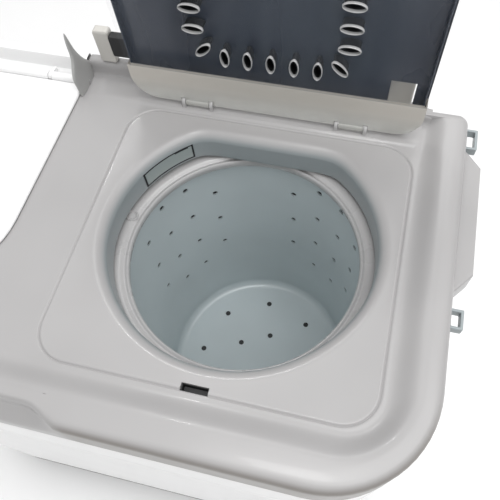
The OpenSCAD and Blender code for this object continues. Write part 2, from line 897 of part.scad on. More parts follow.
module cord_gland() {
    color("black") translate([330, half_d - 8, 120]) rotate([-90, 0, 0]) difference() {
        union() {
            cylinder(r = 7.95, h = 8);
            cylinder(r = 12, h = 3.9);
            translate([0, 0, 6]) cylinder(r1 = 12, r2 = 10, h = 5);
        }
        translate([0, 0, -1]) cylinder(r = 4, h = 30);
    }
}

module capacitor() {
    color("lightgray") translate([-40, -120, base_floor + wall]) union() {
        cylinder(r = 22, h = 76);
        for (x = [-6, 6]) translate([x - 2, -1, 76]) cube([4, 2, 8]);
    }
}

top_deck();
cabinet_wrap();
rear_cover();
base_tray();
feet();
control_fascia();
cover_screws();
wash_tub();
lint_filter();
overflow_pipe();
pulsator();
pulsator_shaft();
wash_bearing();
wash_seal();
large_pulley();
drive_belt();
motor_pulley();
wash_rotor();
wash_motor();
motor_bracket();
spin_casing();
spin_skirt();
shower_window();
spin_basket();
balance_ring();
spin_shaft();
spin_bearing();
bellows_seal();
brake_drum();
brake_lever();
brake_pivot();
spin_rotor();
spin_motor();
suspension_springs();
rubber_mounts();
spin_lid_panel();
spin_lid_cover();
hinge_brackets();
spin_hinge_pins();
lid_stop_posts();
lid_buffers();
wash_lid();
wash_hinge_pins();
hinge_fin();
lid_switch();
lid_plunger();
side_handles();
cord_hooks();
wash_timer();
spin_timer();
selector_switch();
wash_timer_knob();
spin_timer_knob();
selector_knob();
drain_valve();
drain_plunger();
drain_spigot();
water_inlet();
cord_gland();
capacitor();
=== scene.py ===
import json
import math

import bmesh
import bpy
from mathutils import Matrix, Vector
from mathutils.geometry import delaunay_2d_cdt


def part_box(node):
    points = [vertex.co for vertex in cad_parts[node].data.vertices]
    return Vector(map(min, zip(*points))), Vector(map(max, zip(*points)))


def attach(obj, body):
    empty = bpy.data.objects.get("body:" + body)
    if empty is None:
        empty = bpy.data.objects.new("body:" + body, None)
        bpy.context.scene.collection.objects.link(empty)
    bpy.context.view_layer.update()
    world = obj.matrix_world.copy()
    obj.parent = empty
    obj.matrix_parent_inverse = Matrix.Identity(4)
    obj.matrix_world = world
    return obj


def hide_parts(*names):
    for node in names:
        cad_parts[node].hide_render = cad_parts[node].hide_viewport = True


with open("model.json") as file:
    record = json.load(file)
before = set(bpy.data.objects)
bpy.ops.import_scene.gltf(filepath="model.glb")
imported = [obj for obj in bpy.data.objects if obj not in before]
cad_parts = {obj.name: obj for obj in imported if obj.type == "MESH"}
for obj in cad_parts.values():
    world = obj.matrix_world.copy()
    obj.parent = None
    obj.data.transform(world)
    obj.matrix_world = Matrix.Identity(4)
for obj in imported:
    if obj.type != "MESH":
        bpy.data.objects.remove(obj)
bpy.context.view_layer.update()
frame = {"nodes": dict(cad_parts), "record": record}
NODES = frame["nodes"]
MM = 0.001

# Sizes of the frame, read from its own boxes, in millimetres
deck_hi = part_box("top_deck")[1] * 1000
HALF_W, HALF_D = deck_hi.x, deck_hi.y
ring_lo, ring_hi = [v * 1000 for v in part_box("balance_ring")]
SPIN_X = (ring_lo.x + ring_hi.x) / 2
SPIN_Y = (ring_lo.y + ring_hi.y) / 2

# Heights of the deck's rim and of its recessed floor, and the spin opening's radius and flat back
RIM, FLOOR = 872.0, 860.0
OPEN_R, OPEN_FLAT = 134.0, 113.0


# ---------------------------------------------------------------- materials

# Painted shade: the warm dark grey laid on the deck's front outer wall under its rolled rim.
PAINTED_SHADE_COLOR = (0.19, 0.175, 0.16)


def node_material(name):
    m = bpy.data.materials.new(name)
    m.use_nodes = True
    return m, m.node_tree.nodes, m.node_tree.links, m.node_tree.nodes["Principled BSDF"]


def mix_color(nodes, links, factor, a, b):
    mix = nodes.new("ShaderNodeMix")
    mix.data_type = "RGBA"
    links.new(factor, mix.inputs[0])
    for socket, value in ((mix.inputs[6], a), (mix.inputs[7], b)):
        if isinstance(value, tuple):
            socket.default_value = (*value, 1)
        else:
            links.new(value, socket)
    return mix.outputs[2]


def ranged(nodes, links, source, low, high, to_low, to_high):
    r = nodes.new("ShaderNodeMapRange")
    links.new(source, r.inputs["Value"])
    for key, value in (("From Min", low), ("From Max", high), ("To Min", to_low), ("To Max", to_high)):
        r.inputs[key].default_value = value
    return r.outputs["Result"]


def noise(nodes, links, scale, detail=3.0, stretch=(1, 1, 1)):
    where = nodes.new("ShaderNodeTexCoord")
    mapping = nodes.new("ShaderNodeMapping")
    mapping.inputs["Scale"].default_value = stretch
    links.new(where.outputs["Object"], mapping.inputs["Vector"])
    tex = nodes.new("ShaderNodeTexNoise")
    tex.inputs["Scale"].default_value = scale
    tex.inputs["Detail"].default_value = detail
    links.new(mapping.outputs["Vector"], tex.inputs["Vector"])
    return tex.outputs["Fac"]


def add_bump(nodes, links, shader, height, strength, distance):
    bump = nodes.new("ShaderNodeBump")
    bump.inputs["Strength"].default_value = strength
    bump.inputs["Distance"].default_value = distance
    links.new(height, bump.inputs["Height"])
    links.new(bump.outputs["Normal"], shader.inputs["Normal"])


def plastic(name, color, rough=0.32, coat=0.25, drift=0.035, grain=900.0, grain_depth=0.03, mouth_shade_color=None):
    """Moulded plastic: slow colour drift from the moulding, fine texture, patchy gloss.

    Given a second colour, one mesh attribute fades the base towards it, painted shade down into the spin
    opening over the skirt's own grey-blue, and another fades it towards a warm dark grey, painted shade under
    the deck's front rim.
    """
    m, nodes, links, bsdf = node_material(name)
    slow = noise(nodes, links, 7.0, 2.0)
    light = tuple(min(1.0, c * (1 + drift)) for c in color)
    dark = tuple(c * (1 - drift) for c in color)
    base = mix_color(nodes, links, ranged(nodes, links, slow, 0.35, 0.65, 0, 1), dark, light)
    if mouth_shade_color is not None:
        # Painted shade down into the spin opening, over the skirt's own grey-blue.
        opening_shade = nodes.new("ShaderNodeAttribute")
        opening_shade.attribute_name = "opening_shade"
        base = mix_color(nodes, links, opening_shade.outputs["Fac"], base, mouth_shade_color)
        # Painted shade: a warm dark grey under the deck's front rim.
        painted_lip_shade = nodes.new("ShaderNodeAttribute")
        painted_lip_shade.attribute_name = "painted_lip_shade"
        base = mix_color(nodes, links, painted_lip_shade.outputs["Fac"], base, PAINTED_SHADE_COLOR)
    links.new(base, bsdf.inputs["Base Color"])
    patch = noise(nodes, links, 38.0, 4.0)
    links.new(ranged(nodes, links, patch, 0.3, 0.7, rough * 0.94, rough * 1.07), bsdf.inputs["Roughness"])
    bsdf.inputs["Coat Weight"].default_value = coat
    bsdf.inputs["Coat Roughness"].default_value = 0.08
    bsdf.inputs["IOR"].default_value = 1.49
    add_bump(nodes, links, bsdf, noise(nodes, links, grain, 2.0), grain_depth, 0.00012)
    return m


def metal(name, color, rough=0.3, stretch=(1, 1, 40)):
    m, nodes, links, bsdf = node_material(name)
    streak = noise(nodes, links, 60.0, 4.0, stretch)
    dark = tuple(c * 0.82 for c in color)
    links.new(mix_color(nodes, links, streak, dark, color), bsdf.inputs["Base Color"])
    links.new(ranged(nodes, links, streak, 0.2, 0.8, rough * 0.75, rough * 1.35), bsdf.inputs["Roughness"])
    bsdf.inputs["Metallic"].default_value = 1.0
    add_bump(nodes, links, bsdf, streak, 0.15, 0.0001)
    return m


def rubber(name, color):
    m, nodes, links, bsdf = node_material(name)
    fine = noise(nodes, links, 420.0, 4.0)
    lighter = tuple(c * 1.7 + 0.004 for c in color)
    links.new(mix_color(nodes, links, fine, color, lighter), bsdf.inputs["Base Color"])
    links.new(ranged(nodes, links, fine, 0.2, 0.8, 0.55, 0.8), bsdf.inputs["Roughness"])
    add_bump(nodes, links, bsdf, fine, 0.3, 0.0003)
    return m


def height_z(nodes, links):
    where = nodes.new("ShaderNodeTexCoord")
    split = nodes.new("ShaderNodeSeparateXYZ")
    links.new(where.outputs["Object"], split.inputs["Vector"])
    return split.outputs["Z"]


def lid_clear():
    """Clear lid: a milky moulding that reads beige low down and lets the dark sheet behind it show above."""
    m, nodes, links, bsdf = node_material("lid_clear")
    z = height_z(nodes, links)
    low = ranged(nodes, links, z, 0.874, 0.898, 0, 1)
    band = mix_color(nodes, links, low, (0.60, 0.60, 0.57), (0.62, 0.59, 0.54))
    up = ranged(nodes, links, z, 0.9115, 0.9127, 0, 1)
    links.new(mix_color(nodes, links, up, band, (0.42, 0.46, 0.52)), bsdf.inputs["Base Color"])
    streak = noise(nodes, links, 5.0, 5.0, (3.2, 1, 0.6))
    haze = ranged(nodes, links, streak, 0.3, 0.75, 0.0, 0.08)
    alpha = nodes.new("ShaderNodeMix")
    links.new(up, alpha.inputs[0])
    links.new(ranged(nodes, links, z, 0.866, 0.893, 0.45, 0.85), alpha.inputs[2])
    links.new(haze, alpha.inputs[3])
    links.new(alpha.outputs[0], bsdf.inputs["Alpha"])
    bsdf.inputs["Roughness"].default_value = 0.16
    bsdf.inputs["IOR"].default_value = 1.46
    bsdf.inputs["Coat Weight"].default_value = 0.2
    add_bump(nodes, links, bsdf, noise(nodes, links, 9.0, 1.0), 0.04, 0.0008)
    return m


def painted_dark_sheet():
    """The dark sheet behind the clear lid, a dark blue with a faint slow cloudiness: painted shade for the
    dark seen through the lid, over a slight smoky tint of its own.
    """
    m, nodes, links, bsdf = node_material("painted_shade_sheet")
    slow = noise(nodes, links, 3.4, 4.0, (2.4, 1, 0.7))
    cloud = ranged(nodes, links, slow, 0.3, 0.7, 0, 1)
    shade = mix_color(nodes, links, cloud, (0.022, 0.029, 0.046), (0.034, 0.043, 0.062))
    links.new(shade, bsdf.inputs["Base Color"])
    links.new(ranged(nodes, links, slow, 0.3, 0.7, 0.22, 0.34), bsdf.inputs["Roughness"])
    bsdf.inputs["Coat Weight"].default_value = 0.15
    add_bump(nodes, links, bsdf, noise(nodes, links, 7.0, 1.0), 0.04, 0.0008)
    return m


MAT = {
    # The deck's second colour is painted shade down into the spin opening, over the skirt's own grey-blue.
    "deck_plastic": plastic("deck_white", (0.365, 0.358, 0.358), 0.35, 0.15, mouth_shade_color=(0.30, 0.33, 0.34)),
    "cabinet_plastic": plastic("cabinet_white", (0.87, 0.87, 0.87), 0.42, 0.1, drift=0.01),
    "cover_plastic": plastic("cover_grey", (0.50, 0.51, 0.52), 0.55, 0.0, drift=0.015, grain=500.0,
                             grain_depth=0.3),
    "dark_plastic": plastic("base_dark", (0.060, 0.063, 0.068), 0.55, 0.0, grain=400.0, grain_depth=0.35),
    "fascia_plastic": plastic("fascia_pale", (0.85, 0.85, 0.85), 0.3, 0.3, drift=0.01),
    "tub_plastic": plastic("tub_blue", (0.38, 0.46, 0.52), 0.35, 0.2),
    # The skirt's own grey-blue, darkened in part as painted shade inside the spin opening.
    "skirt_plastic": plastic("skirt_grey_blue", (0.30, 0.335, 0.345), 0.38, 0.15),
    "basket_plastic": plastic("basket_grey_blue", (0.60, 0.66, 0.675), 0.3, 0.3, drift=0.04, grain_depth=0.0),
    "white_plastic": plastic("ring_white", (0.44, 0.435, 0.435), 0.28, 0.4),
    "ivory_plastic": plastic("ivory", (0.58, 0.565, 0.53), 0.35, 0.2),
    "lid_plastic": plastic("wash_lid_white", (0.82, 0.82, 0.82), 0.3, 0.3, drift=0.01),
    "grey_plastic": plastic("mid_grey", (0.36, 0.36, 0.355), 0.4, 0.15),
    "black_plastic": plastic("black", (0.012, 0.012, 0.013), 0.45, 0.05, drift=0.2),
    "filter_plastic": plastic("filter_blue", (0.09, 0.20, 0.46), 0.35, 0.2),
    "knob_plastic": plastic("knob_grey_blue", (0.23, 0.28, 0.31), 0.28, 0.4),
    "clear_plastic": lid_clear(),
    # The dark sheet behind the clear lid is painted shade, over a slight smoky tint.
    "smoked_plastic": painted_dark_sheet(),
    "rubber": rubber("black_rubber", (0.014, 0.014, 0.015)),
    "steel": metal("bright_steel", (0.62, 0.62, 0.63), 0.28),
    "cast_housing": metal("cast_housing", (0.30, 0.30, 0.31), 0.5, (1, 1, 1)),
    "motor_paint": plastic("motor_paint", (0.10, 0.12, 0.15), 0.4, 0.2),
    "aluminium": metal("cast_aluminium", (0.66, 0.66, 0.67), 0.38, (1, 1, 1)),
}


# ---------------------------------------------------------------- mesh tools

def piece(name, bm, body, slot, replaces=(), material=None, smooth_angle=40):
    mesh = bpy.data.meshes.new(name)
    bm.normal_update()
    bm.to_mesh(mesh)
    bm.free()
    for p in mesh.polygons:
        p.use_smooth = True
    mesh.set_sharp_from_angle(angle=math.radians(smooth_angle))
    ob = bpy.data.objects.new(name, mesh)
    bpy.context.scene.collection.objects.link(ob)
    ob.data.materials.append(material or MAT[slot])
    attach(ob, body)
    if replaces:
        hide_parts(*replaces)
    return ob


def loft(bm, loops, closed=True, cap_first=False, cap_last=False):
    """Skins matched loops of millimetre points. Loops run anticlockwise seen from above, outside upwards."""
    rows = [[bm.verts.new((x * MM, y * MM, z * MM)) for x, y, z in loop] for loop in loops]
    n = len(rows[0])
    for a, b in zip(rows, rows[1:]):
        for i in range(n if closed else n - 1):
            j = (i + 1) % n
            bm.faces.new((a[i], a[j], b[j], b[i]))
    if cap_first:
        bm.faces.new(list(reversed(rows[0])))
    if cap_last:
        bm.faces.new(rows[-1])
    return rows


def rounded(x0, x1, y0, y1, rf, rb, z=0.0, arc=12, along_x=24, along_y=12):
    """A rectangle with its own radius at the front and back corners, anticlockwise from the front left."""
    pts = []

    def side(p, q, n):
        for i in range(n):
            t = i / n
            pts.append((p[0] + (q[0] - p[0]) * t, p[1] + (q[1] - p[1]) * t, z))

    def corner(cx, cy, r, start):
        for i in range(arc):
            a = math.radians(start + 90 * i / arc)
            pts.append((cx + r * math.cos(a), cy + r * math.sin(a), z))

    side((x0 + rf, y0), (x1 - rf, y0), along_x)
    corner(x1 - rf, y0 + rf, rf, -90)
    side((x1, y0 + rf), (x1, y1 - rb), along_y)
    corner(x1 - rb, y1 - rb, rb, 0)
    side((x1 - rb, y1), (x0 + rb, y1), along_x)
    corner(x0 + rb, y1 - rb, rb, 90)
    side((x0, y1 - rb), (x0, y0 + rf), along_y)
    corner(x0 + rf, y0 + rf, rf, 180)
    return pts


def smooth(a, b, x):
    """Rises smoothly from 0 at a to 1 at b."""
    t = min(1.0, max(0.0, (x - a) / (b - a)))
    return t * t * (3 - 2 * t)


def opening(grow, z, n=144):
    """The round spin opening with its flat back, its corners softened."""
    pts = []
    for i in range(n):
        a = 2 * math.pi * i / n
        r = OPEN_R + grow
        s = math.sin(a)
        r -= 2.5 * smooth(0.2, 0.8, -s)
        if s > 0.5:
            flat = (OPEN_FLAT + grow) / s
            k = 0.30
            r = -math.log(math.exp(-k * (r - 120)) + math.exp(-k * (flat - 120))) / k + 120
        pts.append((SPIN_X + r * math.cos(a), SPIN_Y + r * s, z))
    return pts


def circle(cx, cy, r, n):
    turns = [2 * math.pi * i / n for i in range(n)]
    return [(cx + r * math.cos(a), cy + r * math.sin(a)) for a in turns]


def at_height(loop, z):
    return [(p[0], p[1], z) for p in loop]


def lathe(bm, profile, cx, cy, n):
    """Turns a profile of (radius, z), in millimetres."""
    return loft(bm, [at_height(circle(cx, cy, r, n), z) for r, z in profile])


def inside(loop, x, y):
    hit = False
    n = len(loop)
    for i in range(n):
        x0, y0 = loop[i][:2]
        x1, y1 = loop[(i + 1) % n][:2]
        if (y0 > y) != (y1 > y) and x < (x1 - x0) * (y - y0) / (y1 - y0) + x0:
            hit = not hit
    return hit


def triangulated(closed, opened, extra, keep, merge=1e-6):
    """Flat triangles that follow closed and opened lines, kept where keep(x, y) is true."""
    points, edges = [], []
    for line, shut in [(line, True) for line in closed] + [(line, False) for line in opened]:
        start, n = len(points), len(line)
        points.extend(Vector(p[:2]) for p in line)
        edges.extend((start + i, start + (i + 1) % n) for i in range(n if shut else n - 1))
    points.extend(Vector(p) for p in extra)
    verts, _, faces, _, _, _ = delaunay_2d_cdt(points, edges, [], 0, merge)
    out = []
    for f in faces:
        cx = sum(verts[i].x for i in f) / 3
        cy = sum(verts[i].y for i in f) / 3
        if keep(cx, cy):
            a, b, c = (verts[i] for i in f)
            up = (b.x - a.x) * (c.y - a.y) - (b.y - a.y) * (c.x - a.x)
            out.append(list(f) if up > 0 else list(reversed(f)))
    return verts, out


def drop_loose(bm):
    for v in list(bm.verts):
        if not v.link_faces:
            bm.verts.remove(v)


# ---------------------------------------------------------------- top deck

# The foot of the slope inside the rim, the seat groove of the spin lid, the wash opening and the switch slot
CREASE_X, CREASE_Y = HALF_W - 34, -HALF_D + 44
BACK = HALF_D - 12
SEAT = (SPIN_X - 157, SPIN_X + 154, SPIN_Y - 157, SPIN_Y + 137)
SEAT_R = 34.0
WASH = (-354.0, -40.0, -107.0, 184.0)
SLOT = (SPIN_X - 14, SPIN_X + 11, SPIN_Y - 157, SPIN_Y - 150)
FRONT_N = 72


def deck_loop(inset, z):
    r = 12 - min(inset, 10)
    return rounded(-HALF_W + inset, HALF_W - inset, -HALF_D + inset, HALF_D - inset, 100 - inset, r, z,
                   arc=16, along_x=FRONT_N, along_y=14)


def recess_loop(out_side, out_front, back, r, z):
    return rounded(-CREASE_X - out_side, CREASE_X + out_side, CREASE_Y - out_front, back, r, 6, z,
                   arc=16, along_x=FRONT_N, along_y=14)


def scooped(loop, z_real):
    """Pulls the front wall back into the grip scoop and squeezes the rim above it."""
    start = -HALF_D + 30
    out = []
    for x, y, z in loop:
        w = 1 - smooth(50, 85, abs(x))
        if y < start:
            if z_real > 861:
                y = start + (y - start) * (1 - w * 14 / 30)
            else:
                y += 14 * w * smooth(834, 861, z_real)
        out.append((x, y, z))
    return out


def seat_distance(x, y):
    x0, x1, y0, y1 = SEAT
    qx = abs(x - (x0 + x1) / 2) - (x1 - x0) / 2 + SEAT_R
    qy = abs(y - (y0 + y1) / 2) - (y1 - y0) / 2 + SEAT_R
    return -(math.hypot(max(qx, 0), max(qy, 0)) + min(max(qx, qy), 0) - SEAT_R)


def floor_height(x, y):
    d = seat_distance(x, y)
    groove = -1.2 * math.exp(-(((d - 0.4) / 0.8) ** 2)) + 0.4 * math.exp(-(((d - 2.8) / 1.0) ** 2))
    step = 1.6 * smooth(151.5, 156.5, y) * smooth(-34, -24, x)
    return FLOOR + groove + step


def deck_shell(bm):
    """The outer wall, the rolled rim and the slope down to the recess floor. Returns the floor's outline."""
    turn = 10
    lower = [(3, 840), (3, 813), (2.2, 812.2), (1, 812), (0.2, 812.6), (0, 814), (0, 824)]
    wall = lower + [(0, z) for z in (834, 838, 842, 846, 850, 854, 858, RIM - turn)]
    loops = [scooped(deck_loop(i, z), z) for i, z in wall]
    for k in range(1, 7):
        a = math.radians(15 * k)
        inset, z = turn * (1 - math.cos(a)), RIM - turn + turn * math.sin(a)
        loops.append(scooped(deck_loop(inset, z), z))
    flat = rounded(-HALF_W + 15, HALF_W - 15, -HALF_D + 16, HALF_D - 10.3, 86, 2, RIM,
                   arc=16, along_x=FRONT_N, along_y=14)
    loops.append(scooped(flat, RIM))
    for out_side, out_front, z in ((17, 22, RIM - 0.1), (15, 20, RIM - 0.3)):
        loops.append(scooped(recess_loop(out_side, out_front, BACK + 1.2, 60 + out_side, z), z))
    top = RIM - 0.4
    for k in range(0, 13):
        t = k / 12
        z = FLOOR + (top - FLOOR) * (1 + math.cos(math.pi * t)) / 2
        loops.append(recess_loop(13.5 - 25 * t, 18 - 27 * t, BACK + 1.2 - 2.2 * t, 70 - 36 * t, z))
    loops.append(recess_loop(-12.2, -9.6, BACK - 1.6, 33.6, FLOOR))
    outer = recess_loop(-13, -10.2, BACK - 2.4, 33.2, FLOOR)
    loops.append(outer)
    loft(bm, loops)
    return outer


def wash_loop(g, z):
    """The wash opening, grown by g where the deck is free around it."""
    x0, x1, y0, y1 = WASH
    return rounded(x0 - min(g, 1), x1 + g, y0 - g, y1 + min(g, 1), 90 + g, 30 + min(g, 1), z, arc=12,
                   along_x=20, along_y=12)


def deck_mouths(bm):
    """The rolled edges of the two openings. Returns their outlines in the floor."""
    spin = [(12.5, 860), (11, 860), (9.4, 859.8), (7.5, 859.3), (5.6, 858.4), (3.9, 857.2), (2.4, 855.7),
            (1.2, 853.8), (0.4, 851.7), (0, 849.5)]
    wash = [(1.2, 860), (0.7, 859.9), (0.3, 859.5), (0.1, 859), (0, 858), (0, 851)]
    loft(bm, [opening(g, z) for g, z in spin])
    loft(bm, [wash_loop(g, z) for g, z in wash])
    return [opening(*spin[0]), wash_loop(*wash[0])]


def deck_floor(bm, outer, holes):
    """The recess floor with its seat groove and its step at the back."""
    x0, x1, y0, y1 = SEAT
    seat = [rounded(x0 + g, x1 - g, y0 + g, y1 - g, SEAT_R - g, SEAT_R - g, 0, arc=14, along_x=8, along_y=8)
            for g in (-2.2, -1.4, -0.6, 0, 0.5, 1, 1.5, 2, 2.6, 3.4, 4.4)]
    step = [[(x, y) for x in range(-34, 339, 12)] for y in (151.5, 153, 154, 155, 156.5, 160)]

    def solid(x, y):
        return inside(outer, x, y) and not any(inside(hole, x, y) for hole in holes)

    verts, faces = triangulated([outer] + holes + seat, step, [], solid, merge=1e-5)
    made = [bm.verts.new((v.x * MM, v.y * MM, floor_height(v.x, v.y) * MM)) for v in verts]
    for f in faces:
        bm.faces.new([made[i] for i in f])
    drop_loose(bm)


def shade_deck(bm):
    """Marks the painted shade down into the spin opening and the painted shade on the front wall under the
    rim, either side of the grip scoop.
    """
    opening_shade = bm.verts.layers.float.new("opening_shade")
    painted_lip_shade = bm.verts.layers.float.new("painted_lip_shade")
    rim_line = deck_loop(11, 0)
    for v in bm.verts:
        x, y, z = v.co / MM
        near = math.hypot(x - SPIN_X, y - SPIN_Y) < 150
        # Painted shade: the deck's mouth darkens towards the skirt's grey going down into the spin opening.
        v[opening_shade] = 1 - smooth(850, 859.5, z) if near and z < FLOOR else 0.0
        edge = 0.0 if inside(rim_line, x, y) else 1 - smooth(RIM - 6, RIM, z)
        # Painted shade under the rim's roll on the front wall, either side of the grip scoop.
        v[painted_lip_shade] = edge * (1 - smooth(-150, -90, y)) * smooth(70, 92, abs(x))


def build_deck():
    bm = bmesh.new()
    outer = deck_shell(bm)
    x0, x1, y0, y1 = SLOT
    slot = [(x0, y0), (x1, y0), (x1, y1), (x0, y1)]
    deck_floor(bm, outer, deck_mouths(bm) + [slot])
    loft(bm, [[(x, y, floor_height(x, y)) for x, y in slot], at_height(slot, 852)])
    build_ledge(bm)
    bmesh.ops.remove_doubles(bm, verts=bm.verts, dist=2e-5)
    shade_deck(bm)
    piece("deck_moulding", bm, "cabinet", "deck_plastic", ["top_deck"], smooth_angle=50)


def build_ledge(bm):
    """The raised strip along the back, rounded along its top and ramped down at each end."""
    profile = [(0, 866), (0, 876), (0.6, 878.4), (2.4, 879.8), (4.5, 880), (8, 879.8), (10.6, 878.6),
               (12.2, 876.2), (12.8, 872), (13.2, 865), (14.5, 861.6), (17, 860)]
    xs = [-39, -38, -36] + list(range(-30, 311, 20)) + [316, 322, 328, 334, 340, 345, 349, 351]
    loops = []
    for x in xs:
        h = (1 - smooth(318, 351, x)) * (0.6 + 0.4 * smooth(-39, -35, x))
        loops.append([(x, HALF_D - back, FLOOR + (z - FLOOR) * (0.55 + 0.45 * h) if z > 866 else z)
                      for back, z in profile])
    loft(bm, loops, closed=False)


build_deck()


# ---------------------------------------------------------------- spin opening

# The shower outlet's ends, in degrees round the spin opening
WIN_A, WIN_B = 128.5, 155.5


def build_skirt():
    bm = bmesh.new()
    rows = [(0, 849.5), (0, 846), (0, 840), (0, 834), (0, 828), (0, 825.4), (0.5, 824.3), (1.4, 824),
            (2.5, 825), (2.5, 850)]
    loft(bm, [opening(g, z) for g, z in rows])
    # The skirt takes the deck's second colour in full: its own grey-blue darkened by painted shade inside the
    # opening.
    layer = bm.verts.layers.float.new("opening_shade")
    for v in bm.verts:
        v[layer] = 1.0
    piece("opening_skirt", bm, "cabinet", "skirt_plastic", ["spin_skirt"], MAT["deck_plastic"])


def arc_strip(bm, r0, r1, z0, z1, a0, a1, n):
    """A curved block between two angles of the spin opening, in degrees."""
    loops = []
    for i in range(n + 1):
        a = math.radians(a0 + (a1 - a0) * i / n)
        c, s = math.cos(a), math.sin(a)
        flat = OPEN_FLAT / s if s > 0.5 else 999
        base = min(OPEN_R, flat) - OPEN_R
        loops.append([(SPIN_X + (r + base) * c, SPIN_Y + (r + base) * s, z)
                      for r, z in ((r0, z0), (r0, z1), (r1, z1), (r1, z0))])
    loft(bm, loops, cap_first=True, cap_last=True)
    bmesh.ops.recalc_face_normals(bm, faces=bm.faces)


def build_window():
    bm = bmesh.new()
    arc_strip(bm, OPEN_R - 0.5, OPEN_R + 1.5, 829.5, 848.5, WIN_A, WIN_B, 16)
    piece("shower_outlet", bm, "cabinet", "clear_plastic", ["shower_window"],
          plastic("window_pale", (0.33, 0.37, 0.365), 0.3, 0.3))
    # Black strips at the outlet's ends, foot and top, and a short one under its top edge: painted shade in
    # the gaps and recess round the outlet.
    bm = bmesh.new()
    for a in (WIN_A, WIN_B):
        arc_strip(bm, OPEN_R - 0.9, OPEN_R + 1, 829, 849.5, a - 0.4, a + 0.4, 3)
    arc_strip(bm, OPEN_R - 0.9, OPEN_R + 1, 828.2, 829.6, WIN_A - 0.4, WIN_B + 0.4, 16)
    arc_strip(bm, OPEN_R - 0.8, OPEN_R + 1, 848.2, 849.0, WIN_A - 0.4, WIN_B + 0.4, 16)
    arc_strip(bm, OPEN_R - 0.7, OPEN_R + 1, 846.6, 848.2, WIN_A + 2, WIN_A + 9, 8)
    piece("shower_outlet_gap", bm, "cabinet", "black_plastic")


def build_ring():
    """The balance ring, whose inner edge is a double bead."""
    bm = bmesh.new()
    inner = 120.0
    profile = [(12.5, 803), (20, 803), (21.5, 804.5), (21.5, 812), (21, 816), (19, 818.4), (13, 819),
               (10.2, 819), (8.2, 818.5), (6.8, 817.2), (5.9, 816.3), (4.9, 816.1), (3.9, 816.6), (3, 817.4),
               (1.9, 817.5), (0.8, 816.6), (0.2, 815), (0, 813), (0.2, 810), (1.4, 807), (4, 806), (9, 806)]
    lathe(bm, [(inner + out, z) for out, z in profile[::-1]], SPIN_X, SPIN_Y, 180)
    bmesh.ops.recalc_face_normals(bm, faces=bm.faces)
    piece("balance_ring_body", bm, "basket_unit", "white_plastic", ["balance_ring"])


def build_ring_plug():
    """The round filler plug moulded into the balance ring."""
    bm = bmesh.new()
    a = math.radians(171)
    cx, cy = SPIN_X + 132.5 * math.cos(a), SPIN_Y + 132.5 * math.sin(a)
    rows = [(7.0, 818.0), (6.8, 819.6), (6.2, 820.3), (5.4, 820.0), (4.9, 818.9), (4.3, 818.9), (3.8, 819.6),
            (1.5, 819.7)]
    loft(bm, [at_height(circle(cx, cy, r, 28), z) for r, z in rows], cap_last=True)
    piece("ring_plug", bm, "basket_unit", "white_plastic")


# The basket's wall, with the fillet at its foot, and the radii of its holes
WALL_R, WALL_FOOT, WALL_TOP, FILLET = 132.5, 474.0, 804.0, 12.0
WALL_HOLE, FLOOR_HOLE = 3.5, 4.6
COLUMNS, LEVELS = 128, 14


def on_wall(u, z, r=WALL_R):
    """A point of the basket's wall, in metres: distance round it, height and radius."""
    return (MM * (SPIN_X + r * math.cos(u / WALL_R)), MM * (SPIN_Y + r * math.sin(u / WALL_R)), MM * z)


def wall_holes():
    """Four groups of holes, each with two long columns between two short ones: distance round and height."""
    holes = []
    for group in (10.5, 100.5, 190.5, 280.5):
        for c in range(4):
            outer = c in (0, 3)
            angle = math.radians((group + 45 + (c - 1.5) * 15.4) % 360)
            for k in range(3 if outer else 4):
                holes.append((angle * WALL_R, FLOOR - (113 if outer else 83) - 60 * k - 1.8 * k * (k - 1)))
    return holes


def floor_holes():
    """A ring of eight holes and four near the boss."""
    spots = [(92, 3.5 + 45 * k) for k in range(8)] + [(38.5, a) for a in (77.5, 154.5, 257.5, 334.5)]
    return [(r * math.cos(math.radians(a)), r * math.sin(math.radians(a))) for r, a in spots]


def basket_floor_z(r):
    """The basket floor rises a little round its boss."""
    return 462 + 2.2 * (1 - smooth(30, 62, r))


def basket_wall(bm, holes):
    """The wall, laid out flat, cut by its holes and rolled up, with each hole's short tube."""
    around, rise = 2 * math.pi * WALL_R, WALL_TOP - WALL_FOOT
    edge = [(around * i / COLUMNS, WALL_FOOT) for i in range(COLUMNS + 1)]
    edge += [(around, WALL_FOOT + rise * j / LEVELS) for j in range(1, LEVELS)]
    edge += [(around * i / COLUMNS, WALL_TOP) for i in range(COLUMNS, -1, -1)]
    edge += [(0, WALL_FOOT + rise * j / LEVELS) for j in range(LEVELS - 1, 0, -1)]
    grid = [(around * i / COLUMNS, WALL_FOOT + rise * j / LEVELS) for i in range(1, COLUMNS)
            for j in range(1, LEVELS)]
    grid = [g for g in grid if all(math.hypot(g[0] - u, g[1] - z) > WALL_HOLE + 1.5 for u, z in holes)]
    verts, faces = triangulated(
        [edge] + [circle(u, z, WALL_HOLE, 16) for u, z in holes], [], grid,
        lambda x, y: all(math.hypot(x - u, y - z) > WALL_HOLE - 0.1 for u, z in holes))
    made = [bm.verts.new(on_wall(v.x, v.y)) for v in verts]
    for f in faces:
        bm.faces.new([made[i] for i in reversed(f)])
    for u, z in holes:
        rings = [[on_wall(p[0], p[1], r) for p in circle(u, z, h, 16)]
                 for h, r in ((WALL_HOLE, WALL_R), (2.9, WALL_R + 0.6), (2.8, WALL_R + 3))]
        rows = [[bm.verts.new(q) for q in ring] for ring in rings]
        for a, b in zip(rows, rows[1:]):
            for i in range(16):
                j = (i + 1) % 16
                bm.faces.new((a[i], a[j], b[j], b[i]))


